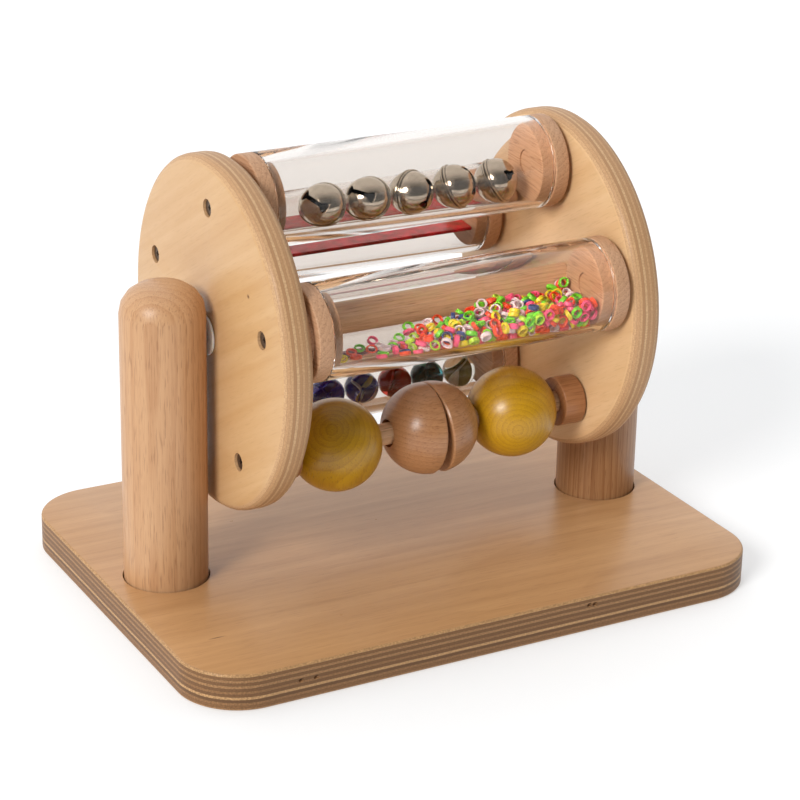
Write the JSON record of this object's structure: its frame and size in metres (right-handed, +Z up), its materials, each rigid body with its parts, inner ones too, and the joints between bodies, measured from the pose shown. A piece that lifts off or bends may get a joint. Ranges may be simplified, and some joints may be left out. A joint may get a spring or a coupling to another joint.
{
  "type": "rotating rainmaker drum",
  "caption": "Wooden drum on a two-post stand that turns on an axle, with clear tubes of bells, rings, marbles and a slat, and a rod of wooden balls.",
  "frame": {"origin": "centre of the base board's underside", "axes": "+X along the axle and the board's long side, -Y towards the front, +Z up"},
  "size_m": [0.3, 0.22, 0.22],
  "materials": {
    "base_plywood": "semi-gloss lacquer, ply edge showing",
    "post_beech": "satin lacquer",
    "disc_plywood": "satin lacquer, ply edge showing",
    "turned_beech": "plain turned wood",
    "ball_natural": "satin",
    "ball_yellow": "translucent satin stain",
    "clear_acrylic": "clear and polished",
    "nylon": "satin",
    "steel": "plain",
    "dark_steel": "dull zinc",
    "bell_nickel": "nickel plate",
    "ring_plastic": "mixed bright colours",
    "slat_red": "glossy",
    "glass_blue": "polished",
    "glass_swirl": "polished, with a white and blue swirl",
    "glass_red": "polished",
    "glass_teal": "polished",
    "glass_clear": "polished"
  },
  "bodies": {
    "stand": {"base_board": "base_plywood", "post_left": "post_beech", "post_right": "post_beech", "post_screw_left": "steel", "post_screw_right": "steel", "axle_rod": "steel"},
    "drum": {"disc_left": "disc_plywood", "disc_right": "disc_plywood", "bushing_left": "nylon", "bushing_right": "nylon", "core_dowel": "turned_beech", "disc_screw_bells_left": "dark_steel", "disc_screw_bells_right": "dark_steel", "disc_screw_beads_left": "dark_steel", "disc_screw_beads_right": "dark_steel", "disc_screw_balls_left": "dark_steel", "disc_screw_balls_right": "dark_steel", "disc_screw_marbles_left": "dark_steel", "disc_screw_marbles_right": "dark_steel", "disc_screw_slat_left": "dark_steel", "disc_screw_slat_right": "dark_steel", "bell_tube": "clear_acrylic", "bell_tube_plug_left": "turned_beech", "bell_tube_plug_right": "turned_beech", "bead_tube": "clear_acrylic", "bead_tube_plug_left": "turned_beech", "bead_tube_plug_right": "turned_beech", "marble_tube": "clear_acrylic", "marble_tube_plug_left": "turned_beech", "marble_tube_plug_right": "turned_beech", "slat_tube": "clear_acrylic", "slat_tube_plug_left": "turned_beech", "slat_tube_plug_right": "turned_beech", "ball_rod": "turned_beech", "rod_collar_left": "turned_beech", "rod_collar_right": "turned_beech"},
    "bell_a": {"bell_1": "bell_nickel"},
    "bell_b": {"bell_2": "bell_nickel"},
    "bell_c": {"bell_3": "bell_nickel"},
    "bell_d": {"bell_4": "bell_nickel"},
    "bell_e": {"bell_5": "bell_nickel"},
    "pellet_a": {"bell_pellet_1": "steel"},
    "pellet_b": {"bell_pellet_2": "steel"},
    "pellet_c": {"bell_pellet_3": "steel"},
    "pellet_d": {"bell_pellet_4": "steel"},
    "pellet_e": {"bell_pellet_5": "steel"},
    "heap": {"bead_heap": "ring_plastic"},
    "blue_marble": {"marble_blue": "glass_blue"},
    "swirl_marble": {"marble_swirl": "glass_swirl"},
    "red_marble": {"marble_red": "glass_red"},
    "teal_marble": {"marble_teal": "glass_teal"},
    "clear_marble": {"marble_clear": "glass_clear"},
    "slat": {"red_slat": "slat_red"},
    "ball_yellow_left": {"yellow_ball_left": "ball_yellow"},
    "ball_yellow_right": {"yellow_ball_right": "ball_yellow"},
    "ball_half_left": {"half_ball_left": "ball_natural"},
    "ball_half_right": {"half_ball_right": "ball_natural"}
  },
  "joints": [
    {"name": "drum_turn", "type": "hinge", "parent": "stand", "child": "drum", "pos_m": [0, 0, 0.136], "axis": [1, 0, 0], "continuous": true},
    {"name": "bell_a_roll", "type": "hinge", "parent": "drum", "child": "bell_a", "pos_m": [-0.0387, -0.00215, 0.19746], "axis": [1, 0, 0], "continuous": true},
    {"name": "bell_b_roll", "type": "hinge", "parent": "drum", "child": "bell_b", "pos_m": [-0.0158, -0.00215, 0.19746], "axis": [1, 0, 0], "continuous": true},
    {"name": "bell_c_roll", "type": "hinge", "parent": "drum", "child": "bell_c", "pos_m": [0.0067, -0.00215, 0.19746], "axis": [1, 0, 0], "continuous": true},
    {"name": "bell_d_roll", "type": "hinge", "parent": "drum", "child": "bell_d", "pos_m": [0.0292, -0.00215, 0.19746], "axis": [1, 0, 0], "continuous": true},
    {"name": "bell_e_roll", "type": "hinge", "parent": "drum", "child": "bell_e", "pos_m": [0.0516, -0.00215, 0.19746], "axis": [1, 0, 0], "continuous": true},
    {"name": "pellet_a_roll", "type": "hinge", "parent": "bell_a", "child": "pellet_a", "pos_m": [-0.0387, -0.00215, 0.19066], "axis": [1, 0, 0], "continuous": true},
    {"name": "pellet_b_roll", "type": "hinge", "parent": "bell_b", "child": "pellet_b", "pos_m": [-0.0158, -0.00215, 0.19066], "axis": [1, 0, 0], "continuous": true},
    {"name": "pellet_c_roll", "type": "hinge", "parent": "bell_c", "child": "pellet_c", "pos_m": [0.0067, -0.00215, 0.19066], "axis": [1, 0, 0], "continuous": true},
    {"name": "pellet_d_roll", "type": "hinge", "parent": "bell_d", "child": "pellet_d", "pos_m": [0.0292, -0.00215, 0.19066], "axis": [1, 0, 0], "continuous": true},
    {"name": "pellet_e_roll", "type": "hinge", "parent": "bell_e", "child": "pellet_e", "pos_m": [0.0516, -0.00215, 0.19066], "axis": [1, 0, 0], "continuous": true},
    {"name": "heap_roll", "type": "hinge", "parent": "drum", "child": "heap", "pos_m": [0, -0.05912, 0.15295], "axis": [1, 0, 0], "continuous": true},
    {"name": "blue_marble_roll", "type": "hinge", "parent": "drum", "child": "blue_marble", "pos_m": [-0.0155, 0.03786, 0.08754], "axis": [1, 0, 0], "continuous": true},
    {"name": "swirl_marble_roll", "type": "hinge", "parent": "drum", "child": "swirl_marble", "pos_m": [0.003, 0.03786, 0.08754], "axis": [1, 0, 0], "continuous": true},
    {"name": "red_marble_roll", "type": "hinge", "parent": "drum", "child": "red_marble", "pos_m": [0.0212, 0.03786, 0.08754], "axis": [1, 0, 0], "continuous": true},
    {"name": "teal_marble_roll", "type": "hinge", "parent": "drum", "child": "teal_marble", "pos_m": [0.0392, 0.03786, 0.08754], "axis": [1, 0, 0], "continuous": true},
    {"name": "clear_marble_roll", "type": "hinge", "parent": "drum", "child": "clear_marble", "pos_m": [0.0572, 0.03786, 0.08754], "axis": [1, 0, 0], "continuous": true},
    {"name": "slat_tumble", "type": "hinge", "parent": "drum", "child": "slat", "pos_m": [0, 0.05779, 0.15703], "axis": [1, 0, 0], "continuous": true},
    {"name": "ball_yellow_left_slide", "type": "slide", "parent": "drum", "child": "ball_yellow_left", "axis": [1, 0, 0], "range_m": [-0.0012, 0.0027]},
    {"name": "ball_half_left_slide", "type": "slide", "parent": "drum", "child": "ball_half_left", "axis": [1, 0, 0], "range_m": [-0.0027, 0]},
    {"name": "ball_half_right_slide", "type": "slide", "parent": "drum", "child": "ball_half_right", "axis": [1, 0, 0], "range_m": [0, 0.0004]},
    {"name": "ball_yellow_right_slide", "type": "slide", "parent": "drum", "child": "ball_yellow_right", "axis": [1, 0, 0], "range_m": [-0.0004, 0.0026]}
  ]
}
